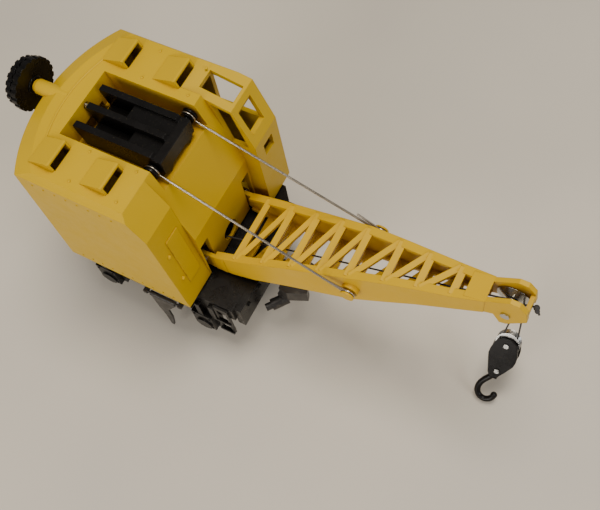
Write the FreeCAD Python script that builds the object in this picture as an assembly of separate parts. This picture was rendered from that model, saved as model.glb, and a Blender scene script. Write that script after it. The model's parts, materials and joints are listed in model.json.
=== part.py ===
import FreeCAD, Part
import math
import os

# Toy railway crane, O gauge, four wheels.
# Frame: +X runs forward along the boom, +Y to the left, +Z up.
# The origin is under the slewing centre, on the plane that the wheels stand on.
# All dimensions are millimetres.

V = FreeCAD.Vector

# Running gear (O gauge rail spacing is 31.75).
RAIL_GAUGE = 31.75
AXLE_X = 23.0
TREAD_R = 11.2
FLANGE_R = 12.4
AXLE_R = 1.5
AXLE_END_Y = 28.6
WHEEL_WIDTH = 4.2

# Chassis.
DECK_TOP = 35.0
DECK_T = 2.4
DECK_HALF_L = 38.5
FRAME_Y = 27.6
FRAME_T = 2.0

# Cab.
CAB_Z0 = 36.0
CAB_ROOF = 98.3
CAB_SHOULDER = 95.3
CAB_HALF_W = 33.0
CAB_WALL = 1.8
REAR_CORNER_X = -30.4
REAR_APEX_X = -40.0
ROOM_Y = 18.1

# Boom: pivot, then stations along it as (x, outer half width, bottom z, top z).
PIVOT = (21.0, 41.0)
BOOM_STATIONS = [
    (25.5, 15.0, 36.6, 45.6),
    (32.4, 14.6, 36.6, 48.6),
    (41.0, 14.0, 38.7, 52.4),
    (56.0, 12.4, 44.0, 59.4),
    (79.1, 10.4, 52.2, 69.4),
    (91.5, 8.7, 58.6, 73.6),
    (102.2, 7.3, 64.5, 76.6),
    (113.2, 6.0, 70.0, 79.4),
    (123.4, 4.6, 74.6, 82.8),
]
BOOM_WALL = 1.6
CHORD_W = 3.0
LACE_T = 1.5
LACE_W = 2.5
LACE_X = [34.7, 46.4, 57.5, 68.4, 78.8, 91.3, 102.2, 113.2]
TIP_AXLE = (130.1, 79.0)
TIP_HALF_W = 4.4
TIP_SLOT = 2.7

# Stay wires.
CROSSBAR = (10.7, 92.8)
STAY_Y = 11.55
BOSS = (80.4, 62.6)
STAY_R = 0.42

# Hoist: drum shaft, cord, and the grooves that the cord runs in.
DRUM = (16.0, 38.95)
DRUM_R = 1.6
CORD_R = 0.3
TIP_GROOVE_R = 1.9
SHEAVE_GROOVE_R = 2.2
KNOT = (137.7, 0.0, 82.9)

# Hook block: centre of its sheave, and how far its long axis dips below the level.
# It leans across the boom, with the hook's bend just above the ground plane.
BLOCK_CENTRE = (131.2, 9.2, 22.3)
BLOCK_DIP = 50.0
SHEAVE_R = 4.5
PLATE_OUT = 2.3
PLATE_T = 0.9
RIVET_ALONG = 11.0


def box(x0, x1, y0, y1, z0, z1):
    return Part.makeBox(x1 - x0, y1 - y0, z1 - z0, V(x0, y0, z0))


def rod(p, q, r):
    a = V(*p)
    b = V(*q)
    return Part.makeCylinder(r, (b - a).Length, a, b - a)


def face_of(points):
    return Part.Face(Part.makePolygon([V(*p) for p in points] + [V(*points[0])]))


def prism_y(outline, y0, y1):
    return face_of([(x, y0, z) for x, z in outline]).extrude(V(0, y1 - y0, 0))


def prism_x(outline, x0, x1):
    return face_of([(x0, y, z) for y, z in outline]).extrude(V(x1 - x0, 0, 0))


def prism_z(outline, z0, z1):
    return face_of([(x, y, z0) for x, y in outline]).extrude(V(0, 0, z1 - z0))


def fuse(shapes):
    return shapes[0].multiFuse(shapes[1:]).removeSplitter()


def mirrored(shape):
    return shape.mirror(V(0, 0, 0), V(0, 1, 0))


def turned(shape):
    """The same piece at the other end: half a turn about the slewing axis."""
    copy = shape.copy()
    copy.rotate(V(0, 0, 0), V(0, 0, 1), 180)
    return copy


def write(name, shape):
    solids = shape.Solids
    if len(solids) != 1:
        print("node", name, "has", len(solids), "solids")
    if not solids[0].isValid():
        print("node", name, "is not valid")
    solids[0].exportStep("parts/" + name + ".step")


# ---------------------------------------------------------------- running gear

def wheel(side):
    """Cast wheel with a flange on its inner side, bored for the axle."""
    inner = RAIL_GAUGE / 2 - 1.4
    flange = Part.makeCone(FLANGE_R, TREAD_R + 0.3, 1.4, V(0, inner, FLANGE_R), V(0, 1, 0))
    tread = Part.makeCone(TREAD_R + 0.3, TREAD_R, WHEEL_WIDTH - 1.4,
                          V(0, inner + 1.4, FLANGE_R), V(0, 1, 0))
    dish = Part.makeCylinder(TREAD_R - 2.2, 1.3, V(0, inner + WHEEL_WIDTH - 1.3, FLANGE_R), V(0, 1, 0))
    hub = Part.makeCylinder(3.4, 1.9, V(0, inner + WHEEL_WIDTH - 1.4, FLANGE_R), V(0, 1, 0))
    bore = Part.makeCylinder(AXLE_R, 20, V(0, inner - 5, FLANGE_R), V(0, 1, 0))
    body = flange.fuse(tread).cut(dish).fuse(hub).cut(bore).removeSplitter()
    return body if side > 0 else mirrored(body)


def axle():
    bar = rod((0, -AXLE_END_Y, FLANGE_R), (0, AXLE_END_Y, FLANGE_R), AXLE_R)
    return bar


def chassis_frame():
    # The deck is cut back at one corner of each end, diagonally opposite the steps.
    half, cut = DECK_HALF_L, 22.0
    deck = prism_z([(-half, FRAME_Y), (31.5, FRAME_Y), (36, cut), (half, cut), (half, -FRAME_Y),
                    (-31.5, -FRAME_Y), (-36, -cut), (-half, -cut)], DECK_TOP - DECK_T, DECK_TOP)
    ring = Part.makeCylinder(11.0, 0.7, V(0, 0, DECK_TOP))
    # Right side frame: sole bar with a pedestal over each axle and a tie bar between them.
    side = [(-31.5, 32.8), (-31.5, 23), (-30, 22), (-29.2, 8.4), (-16.8, 8.4), (-15.8, 14.4),
            (15.8, 14.4), (16.8, 8.4), (29.2, 8.4), (30, 22), (33, 26.5), (half, 26.5), (half, 32.8)]
    plate = prism_y(side, -FRAME_Y, FRAME_T - FRAME_Y)
    window = [(-14.5, 17.2), (14.5, 17.2), (11, 23.4), (-11, 23.4)]
    trim = [plate.cut(prism_y(window, -FRAME_Y - 1, FRAME_T - FRAME_Y + 1))]
    for x in (-AXLE_X, AXLE_X):
        trim.append(box(x - 4.6, x + 4.6, -FRAME_Y - 2.2, -FRAME_Y, 8.9, 20.4))
        trim.append(rod((x, -FRAME_Y - 2.9, FLANGE_R), (x, -FRAME_Y, FLANGE_R), 3.5))
        trim.append(box(x - 1.1, x + 1.1, -FRAME_Y - 2.0, -FRAME_Y, 20.4, 30.5))
        for dx in (-5.9, 5.9):
            trim.append(box(x + dx - 1.2, x + dx + 1.2, -FRAME_Y - 1.4, -FRAME_Y, 20.5, 31.5))
    side_frame = fuse(trim)
    parts = [deck, ring, side_frame, turned(side_frame)]
    # Draft sill under the deck and a cross stretcher at each axle.
    parts.append(box(-half, half, -5.5, -3.7, 27.0, 32.7))
    parts.append(box(-half, half, 3.7, 5.5, 27.0, 32.7))
    for x in (-13.0, 13.0):
        parts.append(box(x - 0.8, x + 0.8, -FRAME_Y + 1, FRAME_Y - 1, 29.5, 32.7))
    body = fuse(parts)
    cuts = []
    for x in (-AXLE_X, AXLE_X):
        cuts.append(rod((x, -AXLE_END_Y - 0.3, FLANGE_R), (x, AXLE_END_Y + 0.3, FLANGE_R), AXLE_R + 0.08))
    cuts.append(Part.makeCylinder(3.05, 20, V(0, 0, 25)))
    return body.cut(fuse(cuts))


def end_beam():
    """Front buffer beam bolted across the end, with a pocket for the coupler shank."""
    x0, x1 = DECK_HALF_L, DECK_HALF_L + 3.0
    beam = box(x0, x1, -26.4, 21.5, 22.0, 35.0)
    beam = beam.cut(box(x0 - 1, x1 + 1, -6.6, 6.6, 21.0, 27.0))
    for y in (-21.0, -13.0, 11.0, 18.0):
        beam = beam.fuse(Part.makeCylinder(0.9, 0.7, V(x1, y, 31.6), V(1, 0, 0)))
    return beam.removeSplitter()


def corner_step():
    """Front right step of flat strip: two rails, two treads and a foot plate under the sole bar."""
    y0, y1 = -FRAME_Y - 1.0, -FRAME_Y
    parts = [
        box(30.3, 31.4, y0, y1, 13.4, 33.6),
        box(35.4, 36.5, y0, y1, 13.4, 33.6),
        box(30.3, 36.5, y0 - 0.7, y1, 13.0, 14.2),
        box(30.3, 36.5, y0 - 0.5, y1, 21.0, 22.2),
        box(30.3, 36.5, y0, y1, 31.4, 34.0),
    ]
    return fuse(parts)


COUPLER_X = 36.0
COUPLER_Z = 24.6


KNUCKLE = (50.2, 4.2)


def coupler_shank():
    """Flat coupler bar on a vertical pin, with the fixed jaw at its outer end and a lug below it."""
    z0, z1 = COUPLER_Z - 1.9, COUPLER_Z + 1.9
    bar = box(COUPLER_X, 48.6, -2.6, 2.6, z0, z1)
    eye = Part.makeCylinder(3.4, z1 - z0, V(COUPLER_X, 0, z0))
    head = prism_z([(46.4, -3.4), (47.4, -9.6), (51, -10.2), (58.2, -7.1), (57.4, -4.7), (50.4, -1.8),
                    (49.8, 2.2), (51.8, 3.0), (51.6, 5.8), (46.4, 4.6)], z0 - 1.6, z1 + 1.6)
    web = box(46.4, 49.4, -10.0, -4.0, 18.0, z0)
    lug = rod((45.2, -13.6, 18.0), (49.6, -8.4, 18.6), 2.3)
    tip = rod((43.6, -15.5, 17.8), (45.4, -13.4, 18.0), 1.5)
    x, y = KNUCKLE
    body = fuse([bar, eye, head, web, lug, tip])
    body = body.cut(Part.makeCylinder(1.26, 12, V(COUPLER_X, 0, z0 - 3)))
    body = body.cut(Part.makeCylinder(0.95, 14, V(x, y, z0 - 4)))
    return body.cut(Part.makeCylinder(2.7, 4.2, V(x, y, COUPLER_Z - 2.1)))


def knuckle():
    """Swinging knuckle between the two lips of the coupler head."""
    z0, z1 = COUPLER_Z - 1.8, COUPLER_Z + 1.8
    x, y = KNUCKLE
    hub = Part.makeCylinder(2.3, z1 - z0, V(x, y, z0))
    jaw = prism_z([(x + 1.0, y - 1.8), (x + 5.0, y - 2.8), (x + 5.6, y - 5.6), (x + 7.7, y - 5.4),
                   (x + 7.6, y + 0.4), (x + 1.6, y + 2.0)], z0, z1)
    return fuse([hub, jaw]).cut(Part.makeCylinder(0.85, 12, V(x, y, z0 - 3)))


def coupler_pin():
    pin = Part.makeCylinder(1.2, 10.8, V(COUPLER_X, 0, COUPLER_Z - 2.8))
    return pin.fuse(Part.makeCylinder(2.0, 0.8, V(COUPLER_X, 0, COUPLER_Z - 3.2))).removeSplitter()


def knuckle_pin():
    x, y = KNUCKLE
    pin = Part.makeCylinder(0.8, 8.2, V(x, y, COUPLER_Z - 3.9))
    return pin.fuse(Part.makeCylinder(1.3, 0.6, V(x, y, COUPLER_Z + 3.55))).removeSplitter()


TRIP_Y = -33.4
TRIP_Z = 32.6


def trip_lever():
    """Tapered plate that hangs outside the near side frame, with a thin leg down beside the wheel."""
    plate = prism_y([(5.0, 33.2), (17.2, 34.4), (17.2, 31.8), (10.4, 20.4), (10.4, 12.8), (8.6, 3.4),
                     (7.2, 3.4), (7.2, 12.6), (6.0, 20.8)], TRIP_Y - 0.4, TRIP_Y + 0.4)
    eye = rod((5.6, TRIP_Y, TRIP_Z), (16.6, TRIP_Y, TRIP_Z), 1.0)
    return fuse([plate, eye]).cut(rod((0, TRIP_Y, TRIP_Z), (30, TRIP_Y, TRIP_Z), 0.58))


def trip_bracket():
    """Pin that the trip lever swings on, with an arm to the side frame at each end."""
    pin = rod((2.6, TRIP_Y, TRIP_Z), (19.6, TRIP_Y, TRIP_Z), 0.5)
    arms = [box(x, x + 1.6, TRIP_Y - 0.8, -FRAME_Y, TRIP_Z - 0.8, TRIP_Z + 0.8) for x in (2.6, 18.0)]
    return fuse([pin] + arms)


# ---------------------------------------------------------------- cab

def outline_wire(half_w, corner_x, apex_x, z):
    a, b = V(60, -half_w, z), V(corner_x, -half_w, z)
    c, d = V(corner_x, half_w, z), V(60, half_w, z)
    return Part.Wire([
        Part.LineSegment(a, b).toShape(),
        Part.Arc(b, V(apex_x, 0, z), c).toShape(),
        Part.LineSegment(c, d).toShape(),
        Part.LineSegment(d, a).toShape(),
    ])


def cab_volume(t, z0):
    """Plan outline with a curved back, and a roof that falls away at its sides and back."""
    low = outline_wire(CAB_HALF_W - t, REAR_CORNER_X + t, REAR_APEX_X + t, z0)
    walls = Part.Face(low).extrude(V(0, 0, CAB_SHOULDER - t * 0.6 - z0))
    zs = CAB_SHOULDER - t * 0.6
    zr = CAB_ROOF - t
    lower = outline_wire(CAB_HALF_W - t, REAR_CORNER_X + t, REAR_APEX_X + t, zs)
    upper = outline_wire(31.0 - t, -23.4 + t, -34.0 + t, zr)
    crown = Part.makeLoft([lower, upper], True, True)
    return walls.fuse(crown)


def roof_scoop(x_open, y0, y1):
    ramp = prism_y([(x_open - 10.5, CAB_ROOF - 0.5), (x_open, CAB_ROOF - 0.5), (x_open, CAB_ROOF + 0.4),
                    (x_open - 1.0, CAB_ROOF + 3.2), (x_open - 1.8, CAB_ROOF + 3.2),
                    (x_open - 10.5, CAB_ROOF + 0.2)], y0, y1)
    return ramp


def scoop_mouth(x_open, y0, y1):
    return prism_y([(x_open - 7.0, CAB_ROOF - 3.5), (x_open - 0.2, CAB_ROOF - 3.5),
                    (x_open + 0.3, CAB_ROOF + 0.4), (x_open - 0.8, CAB_ROOF + 2.6),
                    (x_open - 2.0, CAB_ROOF + 2.4), (x_open - 7.0, CAB_ROOF + 0.4)], y0 + 0.8, y1 - 0.8)


SCOOPS = [(-16.4, -27.8, -17.2), (4.8, -27.8, -17.2), (-16.4, 17.2, 27.8), (4.8, 17.2, 27.8)]
RECESS_Y = (-14.4, 13.4)
RECESS_FLOOR = 88.6


def cab_shell():
    top, base = 99.0, CAB_Z0
    hood = prism_y([(-45, base), (24, base), (19.8, 85.6), (13.2, CAB_ROOF), (13.2, top), (-45, top)],
                   -40, -17.9)
    middle = prism_y([(-45, base), (24, base), (24, 64), (13.2, CAB_ROOF), (13.2, top), (-45, top)],
                     -17.9, ROOM_Y)
    room = prism_y([(-45, base), (30.5, base), (30.1, 75), (24, 94.2), (4.5, CAB_ROOF), (4.5, top),
                    (-45, top)], ROOM_Y, 40)
    outer = cab_volume(0.0, base).common(fuse([hood, middle, room]))

    t = CAB_WALL
    inner_a = prism_y([(-45, base - 1), (23.0, base - 1), (20.4, 64), (15.6, 85.4), (11.6, 97.5), (-45, 97.5)],
                      -40, ROOM_Y + t)
    inner_b = prism_y([(-45, base - 1), (28.7, base - 1), (28.3, 74.6), (22.6, 92.6), (4.3, 96.5),
                       (-45, 96.5)], ROOM_Y + t, 40)
    keep = prism_y([(-25.6, 100), (-23.4, RECESS_FLOOR - t), (30, RECESS_FLOOR - t), (30, 100)],
                   RECESS_Y[0] - t, RECESS_Y[1] + t)
    inner = cab_volume(t, base - 1).common(inner_a.fuse(inner_b)).cut(keep)
    shell = outer.cut(inner)

    for x_open, y0, y1 in SCOOPS:
        shell = shell.fuse(roof_scoop(x_open, y0, y1))
    boss = rod((-30.0, 0, 95.6), (-43.4, 0, 95.6), 2.8)
    collar = rod((-38.0, 0, 95.6), (-44.6, 0, 95.6), 2.3)
    shell = shell.fuse(boss).fuse(collar).cut(prism_x([(-6, 85), (6, 85), (6, 91), (-6, 91)], -37.9, -20))
    for x_open, y0, y1 in SCOOPS:
        shell = shell.cut(scoop_mouth(x_open, y0, y1))

    recess = prism_y([(-23.8, 101), (-21.6, RECESS_FLOOR), (40, RECESS_FLOOR), (40, 101)], *RECESS_Y)
    shell = shell.cut(recess)
    openings = [
        # roof light, sloping front light, inner side light, lower front light, outer side light
        box(10.2, 22.8, 21.5, 29.0, 86, 101),
        box(23.9, 34, 20.6, 28.6, 79.6, 91.2),
        prism_y([(15.9, 94.2), (23.4, 92.8), (27.4, 74.0), (20.2, 73.6)], 17, 21),
        box(27.5, 34, 22.8, 28.6, 64.2, 70.4),
        prism_y([(7.0, 91.0), (20.6, 90.6), (26.6, 74.0), (7.0, 74.0)], 30, 36),
    ]
    for opening in openings:
        shell = shell.cut(opening)
    # Slots for the boom's ears, and the round hole that the hoist cord leaves by.
    for y0, y1 in ((-17.2, -12.4), (12.4, 17.2)):
        shell = shell.cut(box(12.5, 26, y0, y1, base - 1, 56.5))
    shell = shell.cut(rod((15, -0.6, 41.7), (30, -0.6, 41.7), 4.3))
    # Bore for the long screw, and clearance holes for the shafts through the side walls.
    shell = shell.cut(rod((-50, 0, 95.6), (-10, 0, 95.6), 1.35))
    shell = shell.cut(rod((DRUM[0], 25, DRUM[1]), (DRUM[0], 40, DRUM[1]), 1.3))
    return shell.removeSplitter()


def cab_floor():
    """Floor plate inside the shell, with the bearing cheeks for the boom pin and the drum."""
    plate = prism_z([(-27.5, -30.2), (-33.6, -20), (-36.4, -8), (-36.4, 8), (-33.6, 20), (-27.5, 30.2),
                     (20.4, 30.2), (20.4, 18.6), (11.6, 18.0), (11.6, -18.0), (20.4, -18.6), (20.4, -30.2)],
                    36.2, 38.0)
    parts = [plate]
    for sign in (-1, 1):
        y0 = sign * 18.6 - (0.9 if sign > 0 else -0.9) - 0.6
        parts.append(box(11.0, 22.2, y0 - 0.3, y0 + 1.5, 36.2, 43.2))
    for y in (-10.6, 9.0):
        parts.append(box(8.0, 18.6, y, y + 1.6, 36.2, 41.6))
    body = fuse(parts)
    body = body.cut(Part.makeCylinder(3.05, 6, V(0, 0, 34)))
    body = body.cut(rod((PIVOT[0], -25, PIVOT[1]), (PIVOT[0], 25, PIVOT[1]), 1.02))
    return body.cut(rod((DRUM[0], -20, DRUM[1]), (DRUM[0], 34, DRUM[1]), 1.05))


def centre_pin():
    """Rivet that the cab turns on, headed above the cab floor and under the deck."""
    shank = Part.makeCylinder(3.0, 9.2, V(0, 0, 30.4))
    head = Part.makeCylinder(5.2, 1.6, V(0, 0, 38.1))
    foot = Part.makeCylinder(3.55, 1.2, V(0, 0, 31.2))
    return fuse([shank, head, foot])


def lift_screw():
    """Long screw through the back of the cab into the carriage; the hand wheel turns it."""
    shank = rod((-51.2, 0, 95.6), (6.0, 0, 95.6), 1.2)
    return shank


def hand_wheel():
    """Two knurled discs on one hub."""
    parts = []
    for x0, x1, r, teeth in ((-47.6, -45.4, 10.0, 20), (-50.6, -48.6, 9.2, 20)):
        disc = rod((x0, 0, 95.6), (x1, 0, 95.6), r)
        for i in range(teeth):
            a = 2 * math.pi * i / teeth
            y, z = (r + 0.15) * math.cos(a), 95.6 + (r + 0.15) * math.sin(a)
            disc = disc.cut(rod((x0 - 1, y, z), (x1 + 1, y, z), 0.75))
        parts.append(disc)
    parts.append(rod((-51.6, 0, 95.6), (-45.0, 0, 95.6), 3.2))
    return fuse(parts).cut(rod((-60, 0, 95.6), (-40, 0, 95.6), 1.2))


def carriage():
    """Sliding block with three fins along the recess, a front plate and a bored lug for the bar."""
    fin = [(-18.4, 90.0), (-20.5, 96.8), (-20.5, 98.9), (10.6, 98.9), (13.4, 95.6), (13.4, 90.0)]
    parts = []
    for y in (-9.0, -1.0, 7.0):
        parts.append(prism_y(fin, y - 1.2, y + 1.2))
    parts.append(box(-18.0, 13.4, -10.2, 8.2, 89.2, 91.2))
    parts.append(prism_x([(-10.2, 91.2), (-9.4, 91.2), (-7.2, 88.9), (-5.0, 91.2), (2.6, 91.2), (4.8, 88.9),
                          (7.0, 91.2), (8.2, 91.2), (8.2, 98.0), (-10.2, 98.0)], 11.6, 14.8))
    parts.append(box(-1.0, 11.7, -10.2, -2.0, 91.0, 96.2))
    parts.append(box(-6.0, 11.7, -1.8, 6.0, 91.1, 97.6))
    body = fuse(parts)
    body = body.cut(rod((CROSSBAR[0], -15, CROSSBAR[1]), (CROSSBAR[0], 15, CROSSBAR[1]), 1.3))
    return body.cut(rod((-30, 0, 95.6), (9.0, 0, 95.6), 1.26))


def crossbar():
    """Bar across the carriage; a grooved knob at each end holds a stay wire."""
    x, z = CROSSBAR
    bar = rod((x, -11.0, z), (x, 11.0, z), 1.3)
    parts = [bar]
    for sign in (-1, 1):
        parts.append(rod((x, sign * 10.65, z), (x, sign * 10.9, z), 2.6))
        parts.append(rod((x, sign * 10.8, z), (x, sign * 12.3, z), 1.4))
        parts.append(rod((x, sign * 12.2, z), (x, sign * 13.0, z), 2.9))
    return fuse(parts)


# ---------------------------------------------------------------- boom

def station_wire(x, half_w, z0, z1):
    pts = [V(x, -half_w, z0), V(x, half_w, z0), V(x, half_w, z1), V(x, -half_w, z1)]
    return Part.makePolygon(pts + [pts[0]])


def boom_volume(inset, below, above):
    wires = []
    for x, w, z0, z1 in BOOM_STATIONS:
        wires.append(station_wire(x, w - inset, z0 - below, z1 + above))
    spans = [Part.makeLoft([a, b], True, True) for a, b in zip(wires, wires[1:])]
    return fuse(spans)


def between(values, x, column):
    for a, b in zip(values, values[1:]):
        if a[0] <= x <= b[0]:
            f = (x - a[0]) / (b[0] - a[0])
            return a[column] + f * (b[column] - a[column])
    return values[0][column] if x < values[0][0] else values[-1][column]


def lace(p, q, top, width):
    """Flat strip from p to q (x, y), lying in the top or bottom face of the boom."""
    column = 3 if top else 2
    lift = -LACE_T if top else 0.0
    a = V(p[0], p[1], between(BOOM_STATIONS, p[0], column) + lift)
    b = V(q[0], q[1], between(BOOM_STATIONS, q[0], column) + lift)
    run = b - a
    side = run.cross(V(0, 0, 1))
    side.normalize()
    side = side * (width / 2)
    corners = [a - side, a + side, b + side, b - side]
    return Part.Face(Part.makePolygon(corners + [corners[0]])).extrude(V(0, 0, LACE_T))


def lacing(top):
    strips = []
    for x in LACE_X:
        w = between(BOOM_STATIONS, x, 1) - BOOM_WALL * 0.6
        strips.append(lace((x, -w), (x, w), top, LACE_W))
    for xa, xb in zip(LACE_X, LACE_X[1:]):
        wa = between(BOOM_STATIONS, xa, 1) - BOOM_WALL * 0.7
        wb = between(BOOM_STATIONS, xb, 1) - BOOM_WALL * 0.7
        strips.append(lace((xa + 0.8, -wa), (xb - 0.8, wb), top, LACE_W * 0.86))
    return strips


def boom():
    x_tip = BOOM_STATIONS[-1][0]
    shell = boom_volume(0.0, 0.0, 0.0).cut(boom_volume(BOOM_WALL, 2.0, 2.0))
    # The chords are wider than the web: a lip along the top and bottom of each side.
    lips = boom_volume(0.0, 0.0, 0.0).cut(boom_volume(CHORD_W, 2.0, 2.0)).cut(boom_volume(-1.0, -1.6, -1.6))
    parts = [shell, lips] + lacing(True) + lacing(False)
    # Solid end of the top and bottom, just behind the tip.
    w = between(BOOM_STATIONS, 120.0, 1) - 0.6
    parts.append(prism_y([(116.6, 79.3), (x_tip, 81.2), (x_tip, 82.8), (116.6, 80.7)], -w, w))
    # Ears that reach into the cab, round at the pivot.
    for sign in (-1, 1):
        y0 = 13.3 if sign > 0 else -14.9
        ear = prism_y([(PIVOT[0], PIVOT[1] - 4.0), (26.0, 36.6), (30.0, 36.6), (30.0, 47.4), (25.6, 45.7),
                       (PIVOT[0], PIVOT[1] + 4.0)], y0, y0 + 1.6)
        parts.append(ear)
        parts.append(Part.makeCylinder(4.0, 1.6, V(PIVOT[0], y0, PIVOT[1]), V(0, 1, 0)))
    # Tip cheeks and the wall that closes them.
    cheek = [(119.0, 72.6), (119.0, 80.9), (123.4, 82.8), (130.6, 88.4), (133.6, 88.4), (136.1, 85.2),
             (136.7, 79.8), (130.8, 72.6), (128.7, 71.8), (126.4, 76.1)]
    parts.append(prism_y(cheek, TIP_SLOT, TIP_HALF_W))
    parts.append(prism_y(cheek, -TIP_HALF_W, -TIP_SLOT))
    parts.append(prism_y([(134.9, 81.9), (134.9, 84.4), (136.3, 84.4), (136.5, 81.9)], -TIP_SLOT, TIP_SLOT))
    # Bosses for the stay wires.
    for sign in (-1, 1):
        parts.append(rod((BOSS[0], sign * 9.2, BOSS[1]), (BOSS[0], sign * 11.7, BOSS[1]), 3.0))
        parts.append(rod((BOSS[0], sign * 11.5, BOSS[1]), (BOSS[0], sign * 13.7, BOSS[1]), 1.6))
        parts.append(rod((BOSS[0], sign * 13.15, BOSS[1]), (BOSS[0], sign * 13.8, BOSS[1]), 2.5))
    body = fuse(parts)
    body = body.cut(rod((PIVOT[0], -20, PIVOT[1]), (PIVOT[0], 20, PIVOT[1]), 1.06))
    body = body.cut(rod((TIP_AXLE[0], -20, TIP_AXLE[1]), (TIP_AXLE[0], 20, TIP_AXLE[1]), 1.2))
    return body.cut(rod((130, 0, 82.9), (140, 0, 82.9), 0.45))


def boom_pin():
    x, z = PIVOT
    return rod((x, -19.2, z), (x, 19.2, z), 1.0)


def grooved_disc(centre, axis, r, groove, width, bore):
    c = V(*centre)
    n = V(*axis)
    n.normalize()
    half = width / 2
    third = width * 0.12
    disc = Part.makeCone(r, groove, half - third, c + n * half, n * -1)
    disc = disc.fuse(Part.makeCylinder(groove, 2 * third, c - n * third, n))
    disc = disc.fuse(Part.makeCone(groove, r, half - third, c - n * third, n * -1))
    return disc.cut(Part.makeCylinder(bore, width + 2, c - n * (half + 1), n)).removeSplitter()


def tip_pulley():
    return grooved_disc((TIP_AXLE[0], 0, TIP_AXLE[1]), (0, 1, 0), 5.4, TIP_GROOVE_R, 4.6, 1.26)


def tip_axle():
    x, z = TIP_AXLE
    body = rod((x, -TIP_HALF_W - 0.1, z), (x, TIP_HALF_W + 0.1, z), 1.2)
    for sign in (-1, 1):
        body = body.fuse(rod((x, sign * TIP_HALF_W, z), (x, sign * (TIP_HALF_W + 0.7), z), 1.5))
    return body.removeSplitter()


def stay_wire(sign):
    """Straight spring wire with an eye round the crossbar knob and a hook round the boom boss."""
    y = sign * STAY_Y
    ring_a = Part.makeTorus(2.5, STAY_R, V(CROSSBAR[0], y, CROSSBAR[1]), V(0, 1, 0))
    run = V(BOSS[0] - CROSSBAR[0], 0, BOSS[1] - CROSSBAR[1])
    length = run.Length
    run.normalize()
    yb = sign * 12.55
    start = V(CROSSBAR[0], y, CROSSBAR[1]) + run * 2.5
    end = V(BOSS[0], yb, BOSS[1]) - run * 2.25
    ring_b = Part.makeTorus(2.25, STAY_R * 0.9, V(BOSS[0], yb, BOSS[1]), V(0, 1, 0))
    wire = Part.makeCylinder(STAY_R, (end - start).Length, start, end - start)
    tail_end = V(BOSS[0], yb, BOSS[1]) - run * 9.5 + V(0, sign * 0.5, 1.5)
    tail_start = V(BOSS[0], yb, BOSS[1]) + V(-0.7, 0, 2.1)
    tail = Part.makeCylinder(STAY_R * 0.9, (tail_end - tail_start).Length, tail_start, tail_end - tail_start)
    return fuse([ring_a, wire, ring_b, tail])


# ---------------------------------------------------------------- hoist

def hoist_drum():
    """Spool on the hoist shaft that the cord winds on."""
    x, z = DRUM
    parts = [
        rod((x, -8.6, z), (x, 8.6, z), DRUM_R),
        rod((x, -8.6, z), (x, -7.6, z), 2.5),
        rod((x, 7.6, z), (x, 8.6, z), 2.5),
    ]
    return fuse(parts).cut(rod((x, -12, z), (x, 12, z), 1.0))


def hoist_shaft():
    x, z = DRUM
    return rod((x, -11.4, z), (x, 38.2, z), 1.0)


def hoist_knob():
    """Small knurled knob on the shaft's outer end."""
    x, z = DRUM
    knob = rod((x, 33.6, z), (x, 38.0, z), 3.3)
    for i in range(12):
        a = 2 * math.pi * i / 12
        px, pz = x + 3.4 * math.cos(a), z + 3.4 * math.sin(a)
        knob = knob.cut(rod((px, 33, pz), (px, 40, pz), 0.5))
    return knob.cut(rod((x, 30, z), (x, 45, z), 1.0)).removeSplitter()


def report_cord(name, path, tube):
    ratio = tube.Volume / (math.pi * CORD_R ** 2 * path.Length)
    print(name, "length", round(path.Length, 2), "mm, volume over section times length", round(ratio, 4))


def pipe(name, points, radii, r):
    """Tube of radius r along straight runs joined by tangent arcs."""
    pts = points
    edges = []
    last = pts[0]
    for i in range(1, len(pts) - 1):
        a = pts[i - 1] - pts[i]
        b = pts[i + 1] - pts[i]
        a.normalize()
        b.normalize()
        turn = math.pi - a.getAngle(b)
        back = radii[i - 1] * math.tan(turn / 2)
        p, q = pts[i] + a * back, pts[i] + b * back
        middle = a + b
        middle.normalize()
        apex = pts[i] + middle * (radii[i - 1] / math.cos(turn / 2) - radii[i - 1])
        edges.append(Part.LineSegment(last, p).toShape())
        edges.append(Part.Arc(p, apex, q).toShape())
        last = q
    edges.append(Part.LineSegment(last, pts[-1]).toShape())
    path = Part.Wire(edges)
    ring = Part.Wire(Part.makeCircle(r, pts[0], pts[1] - pts[0]))
    tube = path.makePipeShell([ring], True, False, 2)
    report_cord(name, path, tube)
    return tube


def hoist_cord():
    """Cord from under the drum, up inside the boom, and over the tip pulley to where it drops."""
    drop = TIP_GROOVE_R + CORD_R
    hang = DRUM_R + CORD_R
    x1, z1 = TIP_AXLE
    slope = math.atan2(z1 - DRUM[1], x1 - DRUM[0]) + math.asin((drop + hang) / math.dist(DRUM, TIP_AXLE))
    start = V(DRUM[0] + hang * math.sin(slope), -3.2, DRUM[1] - hang * math.cos(slope))
    corner_z = start.z + (x1 + drop - start.x) * math.tan(slope)
    route = [start, V(x1 + drop, 0, corner_z), V(x1 + drop, 0, z1 - 0.5)]
    return pipe("hoist_cord", route, [drop], CORD_R)


def fall_cord():
    """The two falls: down from the tip pulley, round the block's sheave, and up to the tip wall."""
    drop = TIP_GROOVE_R + CORD_R
    wrap = SHEAVE_GROOVE_R + CORD_R
    points = [
        V(TIP_AXLE[0] + drop, 0, TIP_AXLE[1] - 0.5),
        block_point(-3.4, -wrap, 0),
        block_point(wrap, -wrap, 0),
        block_point(wrap, wrap, 0),
        block_point(-3.4, wrap, 0),
        V(KNOT[0] - 3.4, 0, KNOT[2] - 1.2),
        V(KNOT[0] - 1.0, 0, KNOT[2]),
    ]
    return pipe("fall_cord", points, [1.5, wrap - 0.15, wrap - 0.15, 1.5, 0.8], CORD_R)


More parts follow.
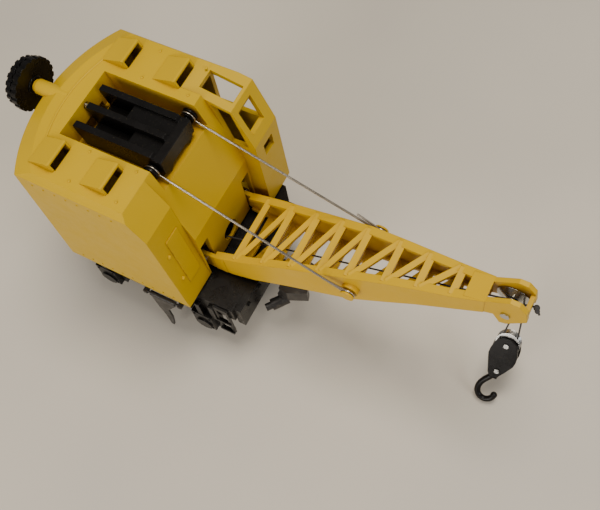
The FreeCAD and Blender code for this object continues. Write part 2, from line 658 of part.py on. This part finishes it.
def cord_knot():
    """Overhand knot outside the tip wall, with its short free end."""
    ball = Part.makeSphere(1.0, V(*KNOT))
    lobe = Part.makeSphere(0.8, V(KNOT[0] + 0.5, KNOT[1] - 0.7, KNOT[2] - 0.6))
    tail = rod(KNOT, (KNOT[0] + 1.5, KNOT[1] - 1.4, KNOT[2] - 1.1), 0.35)
    return fuse([ball, lobe, tail])


def block_axes():
    """Down the block, across it, and out of its upper plate."""
    dip = math.radians(BLOCK_DIP)
    along = V(0, -math.cos(dip), -math.sin(dip))
    across = V(1, 0, 0)
    out = V(0, -math.sin(dip), math.cos(dip))
    return along, across, out


def block_point(a, c, o):
    along, across, out = block_axes()
    return V(*BLOCK_CENTRE) + along * a + across * c + out * o


def block_prism(outline, out0, out1):
    pts = [block_point(a, c, out0) for a, c in outline]
    return Part.Face(Part.makePolygon(pts + [pts[0]])).extrude(block_axes()[2] * (out1 - out0))


def block_rod(a, c, o0, o1, r):
    p, q = block_point(a, c, o0), block_point(a, c, o1)
    return Part.makeCylinder(r, (q - p).Length, p, q - p)


def block_plate(upper):
    """Side plate: round shoulders beside the sheave, tapering to the hook's rivet."""
    outline = [(-2.6, -1.6), (-1.6, -3.6), (0.6, -4.4), (3.0, -5.0), (5.0, -5.1), (7.0, -4.6), (12.6, -3.0),
               (14.0, -2.0), (14.4, -0.6), (13.6, 0.8), (10.0, 3.0), (7.0, 4.7), (5.0, 5.1), (3.0, 5.0),
               (0.6, 4.4), (-1.6, 3.6), (-2.6, 1.6)]
    o0 = PLATE_OUT if upper else -PLATE_OUT - PLATE_T
    plate = block_prism(outline, o0, o0 + PLATE_T)
    return plate.cut(block_rod(0, 0, -8, 8, 0.9)).cut(block_rod(RIVET_ALONG, 0, -8, 8, 0.9))


def block_sheave():
    return grooved_disc(BLOCK_CENTRE, block_axes()[2], SHEAVE_R, SHEAVE_GROOVE_R, 3.6, 0.97)


def block_pin(a):
    reach = PLATE_OUT + PLATE_T
    pin = block_rod(a, 0, -reach - 0.5, reach + 0.5, 0.9)
    return pin


def hook():
    """Round hook; its flat shank is held between the two plates by the lower rivet."""
    shank = block_prism([(8.6, -1.9), (15.0, -1.9), (15.0, 0.8), (8.6, 1.9)], -PLATE_OUT + 0.12, PLATE_OUT - 0.12)
    route = [(14.2, -0.6), (17.0, -2.4), (19.8, -4.0), (22.6, -4.5), (25.0, -3.5), (26.0, -1.3), (25.0, 0.9),
             (22.9, 1.9)]
    points = [block_point(a, c, 0) for a, c in route]
    spline = Part.BSplineCurve()
    spline.interpolate(points)
    path = Part.Wire([spline.toShape()])
    ring = Part.Wire(Part.makeCircle(1.15, points[0], spline.tangent(spline.FirstParameter)[0]))
    bend = path.makePipeShell([ring], True, False, 2)
    tip = Part.makeSphere(1.25, points[-1])
    root = Part.makeSphere(1.15, points[0])
    return fuse([shank, bend, tip, root]).cut(block_rod(RIVET_ALONG, 0, -8, 8, 0.96))


def main():
    os.makedirs("parts", exist_ok=True)
    nodes = {}
    nodes["chassis_frame"] = chassis_frame()
    nodes["corner_step_front_right"] = corner_step()
    nodes["corner_step_rear_left"] = turned(corner_step())
    ends = (("end_beam", end_beam()), ("coupler", coupler_shank()), ("coupler_pin", coupler_pin()),
            ("knuckle", knuckle()), ("knuckle_pin", knuckle_pin()))
    for name, shape in ends:
        nodes[name + "_front"] = shape
        nodes[name + "_rear"] = turned(shape)
    for end, x in (("front", AXLE_X), ("rear", -AXLE_X)):
        for name, shape in (("axle_" + end, axle()), ("wheel_" + end + "_left", wheel(1)),
                            ("wheel_" + end + "_right", wheel(-1))):
            shape.translate(V(x, 0, 0))
            nodes[name] = shape
    nodes["trip_lever"] = trip_lever()
    nodes["trip_bracket"] = trip_bracket()
    nodes["centre_pin"] = centre_pin()
    nodes["cab_floor"] = cab_floor()
    nodes["cab_shell"] = cab_shell()
    nodes["lift_screw"] = lift_screw()
    nodes["hand_wheel"] = hand_wheel()
    nodes["carriage"] = carriage()
    nodes["crossbar"] = crossbar()
    nodes["boom"] = boom()
    nodes["boom_pin"] = boom_pin()
    nodes["tip_pulley"] = tip_pulley()
    nodes["tip_axle"] = tip_axle()
    nodes["stay_wire_left"] = stay_wire(1)
    nodes["stay_wire_right"] = stay_wire(-1)
    nodes["hoist_drum"] = hoist_drum()
    nodes["hoist_shaft"] = hoist_shaft()
    nodes["hoist_knob"] = hoist_knob()
    nodes["block_plate_upper"] = block_plate(True)
    nodes["block_plate_lower"] = block_plate(False)
    nodes["block_sheave"] = block_sheave()
    nodes["block_pin"] = block_pin(0.0)
    nodes["hook_rivet"] = block_pin(RIVET_ALONG)
    nodes["hoist_cord"] = hoist_cord()
    nodes["fall_cord"] = fall_cord()
    nodes["cord_knot"] = cord_knot()
    nodes["hook"] = hook()
    for name, shape in nodes.items():
        write(name, shape)
    print(len(nodes), "nodes")


main()
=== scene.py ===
import json
import math

import bmesh
import bpy
from mathutils import Euler, Matrix, Vector


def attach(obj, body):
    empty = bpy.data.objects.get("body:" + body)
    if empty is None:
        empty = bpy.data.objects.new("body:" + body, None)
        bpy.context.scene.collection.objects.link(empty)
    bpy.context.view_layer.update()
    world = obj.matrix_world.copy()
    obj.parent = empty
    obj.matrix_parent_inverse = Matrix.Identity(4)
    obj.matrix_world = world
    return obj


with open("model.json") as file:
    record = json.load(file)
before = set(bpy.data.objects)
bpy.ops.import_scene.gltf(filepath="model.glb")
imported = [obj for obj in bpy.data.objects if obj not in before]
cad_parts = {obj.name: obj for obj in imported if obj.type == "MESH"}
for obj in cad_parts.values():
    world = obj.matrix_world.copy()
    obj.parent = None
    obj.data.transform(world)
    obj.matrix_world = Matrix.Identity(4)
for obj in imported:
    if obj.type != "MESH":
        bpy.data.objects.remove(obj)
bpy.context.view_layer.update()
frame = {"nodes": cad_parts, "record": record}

# Toy railway crane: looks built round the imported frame, in the same place and size.
MM = 0.001


# ---------------------------------------------------------------- camera

camera_data = bpy.data.cameras.new("view_camera")
camera_data.lens = 54.0
camera_data.sensor_width = 36.0
camera_data.sensor_fit = "HORIZONTAL"
camera_data.shift_x = 0.04
camera_data.shift_y = -0.08
camera_data.clip_start = 0.005
camera = bpy.data.objects.new("view_camera", camera_data)
bpy.context.scene.collection.objects.link(camera)
camera.location = (0.1473, -0.1093, 0.3384)
camera.rotation_euler = Euler([math.radians(a) for a in (28.53, 7.56, 28.49)], "XYZ")
bpy.context.scene.camera = camera


# ---------------------------------------------------------------- materials

class Nodes:
    """Small helper that adds shader nodes and links them by name."""

    def __init__(self, name):
        self.mat = bpy.data.materials.new(name)
        self.mat.use_nodes = True
        self.tree = self.mat.node_tree
        self.shader = self.tree.nodes["Principled BSDF"]
        self.coords = self.add("ShaderNodeTexCoord").outputs["Object"]

    def add(self, kind, **values):
        node = self.tree.nodes.new(kind)
        for key, value in values.items():
            socket = node.inputs.get(key.replace("_", " "))
            if socket is not None:
                socket.default_value = value
            else:
                setattr(node, key, value)
        return node

    def link(self, out, socket):
        self.tree.links.new(out, socket)

    def noise(self, scale, detail=3.0, rough=0.55):
        node = self.add("ShaderNodeTexNoise", Scale=scale, Detail=detail, Roughness=rough)
        self.link(self.coords, node.inputs["Vector"])
        return node.outputs["Fac"]

    def remap(self, value, a, b, lo, hi):
        node = self.add("ShaderNodeMapRange")
        for socket, v in zip(("From Min", "From Max", "To Min", "To Max"), (a, b, lo, hi)):
            node.inputs[socket].default_value = v
        self.link(value, node.inputs["Value"])
        return node.outputs["Result"]

    def mix(self, factor, a, b):
        node = self.add("ShaderNodeMix", data_type="RGBA")
        self.link(factor, node.inputs[0])
        for value, socket in ((a, node.inputs[6]), (b, node.inputs[7])):
            if isinstance(value, tuple):
                socket.default_value = (*value, 1.0)
            else:
                self.link(value, socket)
        return node.outputs[2]

    def painted_crevice_shade(self, colour, crevice_shade_colour):
        """Painted shade: darkens the colour towards a shade colour in corners and hollows found by ambient
        occlusion.
        """
        crevice_occlusion = self.add("ShaderNodeAmbientOcclusion", samples=6, Distance=7 * MM)
        crevice_shade_amount = self.remap(crevice_occlusion.outputs["AO"], 0.15, 0.85, 0.9, 0.0)
        return self.mix(crevice_shade_amount, colour, crevice_shade_colour)

    def surface(self, height, strength, distance, edge):
        """Fine relief over edges softened by a small radius."""
        soft = self.add("ShaderNodeBevel", samples=4, Radius=edge)
        bump = self.add("ShaderNodeBump", Strength=strength, Distance=distance)
        self.link(height, bump.inputs["Height"])
        self.link(soft.outputs["Normal"], bump.inputs["Normal"])
        self.link(bump.outputs["Normal"], self.shader.inputs["Normal"])


def moulded_plastic(name, base, shade, crevice_shade_colour, dust_amount, rough, edge=0.35 * MM):
    """Injection-moulded plastic: drifting tone, specks of dust, painted shade in corners and hollows, and
    a fine skin.
    """
    n = Nodes(name)
    tone = n.remap(n.noise(26.0, 2.0), 0.3, 0.7, 0.0, 1.0)
    colour = n.mix(tone, base, shade)
    specks = n.remap(n.noise(900.0, 2.0, 0.7), 0.62, 0.8, 0.0, dust_amount)
    colour = n.mix(specks, colour, DUST)
    scuffs = n.remap(n.noise(120.0, 6.0, 0.75), 0.35, 0.75, 0.0, 1.0)
    # The base colour gets painted shade in corners and hollows, from ambient occlusion.
    n.link(n.painted_crevice_shade(colour, crevice_shade_colour), n.shader.inputs["Base Color"])
    n.link(n.remap(scuffs, 0.0, 1.0, rough - 0.07, rough + 0.1), n.shader.inputs["Roughness"])
    n.shader.inputs["Specular IOR Level"].default_value = 0.2
    n.surface(n.noise(1500.0, 2.0), 0.12, 0.05 * MM, edge)
    return n.mat


def plated_metal(name, base, rough, edge=0.12 * MM, relief=0.15, grain=700.0):
    """Plated metal with faint tarnish, uneven polish and, where relief isn't 0, fine tool marks."""
    n = Nodes(name)
    tarnish = n.remap(n.noise(grain * 0.4, 3.0), 0.4, 0.75, 0.0, 0.5)
    n.link(n.mix(tarnish, base, tuple(c * 0.6 for c in base)), n.shader.inputs["Base Color"])
    n.shader.inputs["Metallic"].default_value = 1.0
    n.link(n.remap(n.noise(grain, 3.0), 0.3, 0.7, rough, rough + 0.12), n.shader.inputs["Roughness"])
    if relief:
        n.surface(n.noise(2600.0, 2.0), relief, 0.02 * MM, edge)
    return n.mat


def blackened_casting(name):
    """Blackened die casting with brighter patches where the finish has worn."""
    n = Nodes(name)
    worn = n.remap(n.noise(420.0, 5.0, 0.7), 0.55, 0.72, 0.0, 0.55)
    n.link(n.mix(worn, (0.030, 0.026, 0.023), (0.16, 0.145, 0.125)), n.shader.inputs["Base Color"])
    n.link(n.remap(worn, 0.0, 0.55, 0.25, 0.85), n.shader.inputs["Metallic"])
    n.link(n.remap(n.noise(240.0, 4.0), 0.3, 0.7, 0.30, 0.52), n.shader.inputs["Roughness"])
    n.surface(n.noise(1300.0, 4.0), 0.3, 0.05 * MM, 0.15 * MM)
    return n.mat


def waxed_thread(name):
    """Dark waxed thread, banded by its twist."""
    n = Nodes(name)
    wave = n.add("ShaderNodeTexWave", Scale=1400.0, Distortion=1.5, Detail=2.0)
    n.link(n.coords, wave.inputs["Vector"])
    n.link(n.mix(wave.outputs["Fac"], (0.010, 0.009, 0.009), (0.05, 0.045, 0.042)),
           n.shader.inputs["Base Color"])
    n.shader.inputs["Roughness"].default_value = 0.75
    n.surface(wave.outputs["Fac"], 0.5, 0.05 * MM, 0.05 * MM)
    return n.mat


def floor_cloth(name):
    """Pale smooth cloth with very soft blotches."""
    n = Nodes(name)
    blotch = n.remap(n.noise(5.0, 3.0), 0.3, 0.7, 0.0, 1.0)
    n.link(n.mix(blotch, (0.64, 0.575, 0.475), (0.56, 0.51, 0.435)), n.shader.inputs["Base Color"])
    n.shader.inputs["Roughness"].default_value = 0.9
    n.surface(n.noise(900.0, 3.0), 0.15, 0.1 * MM, 0.1 * MM)
    return n.mat


DUST = (0.50, 0.40, 0.22)
# The third colour of each plastic is the painted shade colour for its corners and hollows.
MATERIALS = {
    "yellow_plastic": moulded_plastic("yellow_plastic", (0.58, 0.365, 0.002), (0.53, 0.335, 0.001),
                                      (0.30, 0.115, 0.0), 0.10, 0.40),
    "boom_plastic": moulded_plastic("boom_plastic", (0.64, 0.385, 0.004), (0.59, 0.355, 0.003),
                                    (0.40, 0.185, 0.001), 0.10, 0.42),
    "black_plastic": moulded_plastic("black_plastic", (0.0035, 0.0031, 0.0030), (0.0065, 0.0052, 0.0045),
                                     (0.002, 0.0017, 0.0015), 0.05, 0.30),
    "blackened_metal": blackened_casting("blackened_metal"),
    "bright_steel": plated_metal("bright_steel", (0.55, 0.54, 0.51), 0.16),
    "spring_wire": plated_metal("spring_wire", (0.42, 0.37, 0.30), 0.22, 0.05 * MM, 0.0, 90.0),
    "cord": waxed_thread("cord"),
}
# Every CAD node takes the material that the record names for it.
SLOTS = {part["node"]: part["material_slot"] for part in frame["record"]["subparts"]}
for node, obj in frame["nodes"].items():
    obj.data.materials.clear()
    obj.data.materials.append(MATERIALS[SLOTS[node]])


# ---------------------------------------------------------------- moulded detail
# Places below are in millimetres in the frame's axes: x forward along the boom, y left, z up.

ROOF_Z = 98.3
SIDE_Y = -33.0
JOURNAL_Y = -29.8


def mesh_object(name, bm, material, body):
    mesh = bpy.data.meshes.new(name)
    bm.normal_update()
    bm.to_mesh(mesh)
    bm.free()
    obj = bpy.data.objects.new(name, mesh)
    bpy.context.scene.collection.objects.link(obj)
    mesh.materials.append(MATERIALS[material])
    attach(obj, body)
    return obj


def raised_panel(name, corners, height, border, material, body):
    """Flat plate raised from a face, with chamfered edges. Corners run anticlockwise seen from outside."""
    pts = [Vector(c) * MM for c in corners]
    normal = (pts[1] - pts[0]).cross(pts[2] - pts[0]).normalized()
    centre = sum(pts, Vector()) / len(pts)
    bm = bmesh.new()
    low = [bm.verts.new(p - normal * 0.25 * MM) for p in pts]
    rim = [bm.verts.new(p + normal * (height - 0.1) * MM) for p in pts]
    top = []
    for p in pts:
        inward = (centre - p).normalized()
        top.append(bm.verts.new(p + inward * border * MM + normal * height * MM))
    count = len(pts)
    for i in range(count):
        j = (i + 1) % count
        bm.faces.new((low[i], low[j], rim[j], rim[i]))
        bm.faces.new((rim[i], rim[j], top[j], top[i]))
    bm.faces.new(top)
    bm.faces.new(low[::-1])
    return mesh_object(name, bm, material, body)


def rivets(name, places, normal, radius, height, material, body):
    """A row of domed rivet heads standing on a face."""
    bm = bmesh.new()
    turn = Vector((0, 0, 1)).rotation_difference(Vector(normal).normalized()).to_matrix().to_4x4()
    for place in places:
        dome = bmesh.ops.create_uvsphere(bm, u_segments=14, v_segments=8, radius=radius * MM)
        squash = Matrix.Diagonal((1, 1, height / radius, 1))
        move = Matrix.Translation(Vector(place) * MM) @ turn @ squash
        bmesh.ops.transform(bm, matrix=move, verts=dome["verts"])
    for face in bm.faces:
        face.smooth = True
    return mesh_object(name, bm, material, body)


def hood_point(y, z):
    """A point on the sloping front face of the machinery house, from its foot to the roof line."""
    return (24.0 - 4.2 * (z - 36.0) / 49.6, y, z)


def bead(name, points, width, height, normal, material, body):
    """A low half-round bead moulded along a line of points."""
    bm = bmesh.new()
    up = Vector(normal).normalized()
    pts = [Vector(p) * MM for p in points]
    rings = []
    for i, p in enumerate(pts):
        run = (pts[min(i + 1, len(pts) - 1)] - pts[max(i - 1, 0)]).normalized()
        side = run.cross(up).normalized()
        ring = []
        for k in range(9):
            a = math.pi * k / 8
            reach = side * math.cos(a) * width / 2 + up * (math.sin(a) * (height + 0.2) - 0.2)
            ring.append(bm.verts.new(p + reach * MM))
        rings.append(ring)
    for a, b in zip(rings, rings[1:]):
        for k in range(8):
            face = bm.faces.new((a[k], b[k], b[k + 1], a[k + 1]))
            face.smooth = True
    bm.faces.new(rings[0])
    bm.faces.new(rings[-1][::-1])
    return mesh_object(name, bm, material, body)


# Hatch and hinge pips on the front of the machinery house.
raised_panel("hood_hatch", [hood_point(-27.0, 76.0), hood_point(-27.0, 47.0), hood_point(-20.2, 47.0),
                            hood_point(-20.2, 76.0)], 0.5, 0.5, "yellow_plastic", "cab")
rivets("hood_hinges", [hood_point(-28.6, 69.0), hood_point(-28.6, 53.0)], (1, 0, 0.09), 0.9, 0.8,
       "yellow_plastic", "cab")

# Bead along the roof's curved back edge, and rivet heads beside the roof openings.
roof_edge = []
for step in range(-12, 13):
    y = 26.0 * step / 12
    roof_edge.append((-29.6 + 6.4 * (y / 26.0) ** 2, y, ROOF_Z))
bead("roof_bead", roof_edge, 0.9, 0.3, (0, 0, 1), "yellow_plastic", "cab")
pips = [(x, side * y, ROOF_Z) for side in (-1, 1) for x in (-9.5, 9.2) for y in (16.2, 28.4)]
rivets("roof_pips", pips, (0, 0, 1), 0.55, 0.4, "yellow_plastic", "cab")

# Riveted seams on the right side wall, where the sheets of the real machine would lap.
seam_x = [-24.0 + 4.6 * k for k in range(10)]
low_seam = [(x, SIDE_Y, 39.0) for x in seam_x]
high_seam = [(x, SIDE_Y, 92.6) for x in seam_x[:8]]
rivets("side_rivets_low", low_seam, (0, -1, 0), 0.42, 0.3, "yellow_plastic", "cab")
rivets("side_rivets_high", high_seam, (0, -1, 0), 0.42, 0.3, "yellow_plastic", "cab")

# Bolt heads on the journal boxes.
bolts = [(x + dx, JOURNAL_Y, z) for x in (-23.0, 23.0) for dx in (-3.4, 3.4) for z in (10.4, 18.8)]
rivets("journal_bolts", bolts, (0, -1, 0), 0.5, 0.4, "black_plastic", "chassis")


# ---------------------------------------------------------------- floor and light

floor_mesh = bpy.data.meshes.new("floor")
bm = bmesh.new()
bmesh.ops.create_grid(bm, x_segments=40, y_segments=40, size=1.6)
bm.to_mesh(floor_mesh)
bm.free()
floor = bpy.data.objects.new("floor", floor_mesh)
floor_mesh.materials.append(floor_cloth("floor_cloth"))
bpy.context.scene.collection.objects.link(floor)


def area_light(name, place, target, size, power, colour):
    data = bpy.data.lights.new(name, "AREA")
    data.shape = "DISK"
    data.size = size
    data.energy = power
    data.color = colour
    light = bpy.data.objects.new(name, data)
    light.location = place
    aim = (Vector(target) - Vector(place)).to_track_quat("-Z", "Y")
    light.rotation_euler = aim.to_euler()
    bpy.context.scene.collection.objects.link(light)


AIM = (0.04, 0.0, 0.04)
area_light("key_light", (0.10, 0.10, 0.95), AIM, 0.42, 6.6, (1.0, 0.95, 0.86))
area_light("fill_light", (-0.10, -0.80, 0.40), AIM, 0.50, 4.4, (1.0, 0.95, 0.88))
area_light("rim_light", (0.80, -0.20, 0.45), AIM, 0.40, 1.8, (0.94, 0.97, 1.0))
world = bpy.data.worlds.new("studio_world")
world.use_nodes = True
world.node_tree.nodes["Background"].inputs["Color"].default_value = (0.86, 0.84, 0.82, 1.0)
world.node_tree.nodes["Background"].inputs["Strength"].default_value = 0.30
bpy.context.scene.world = world
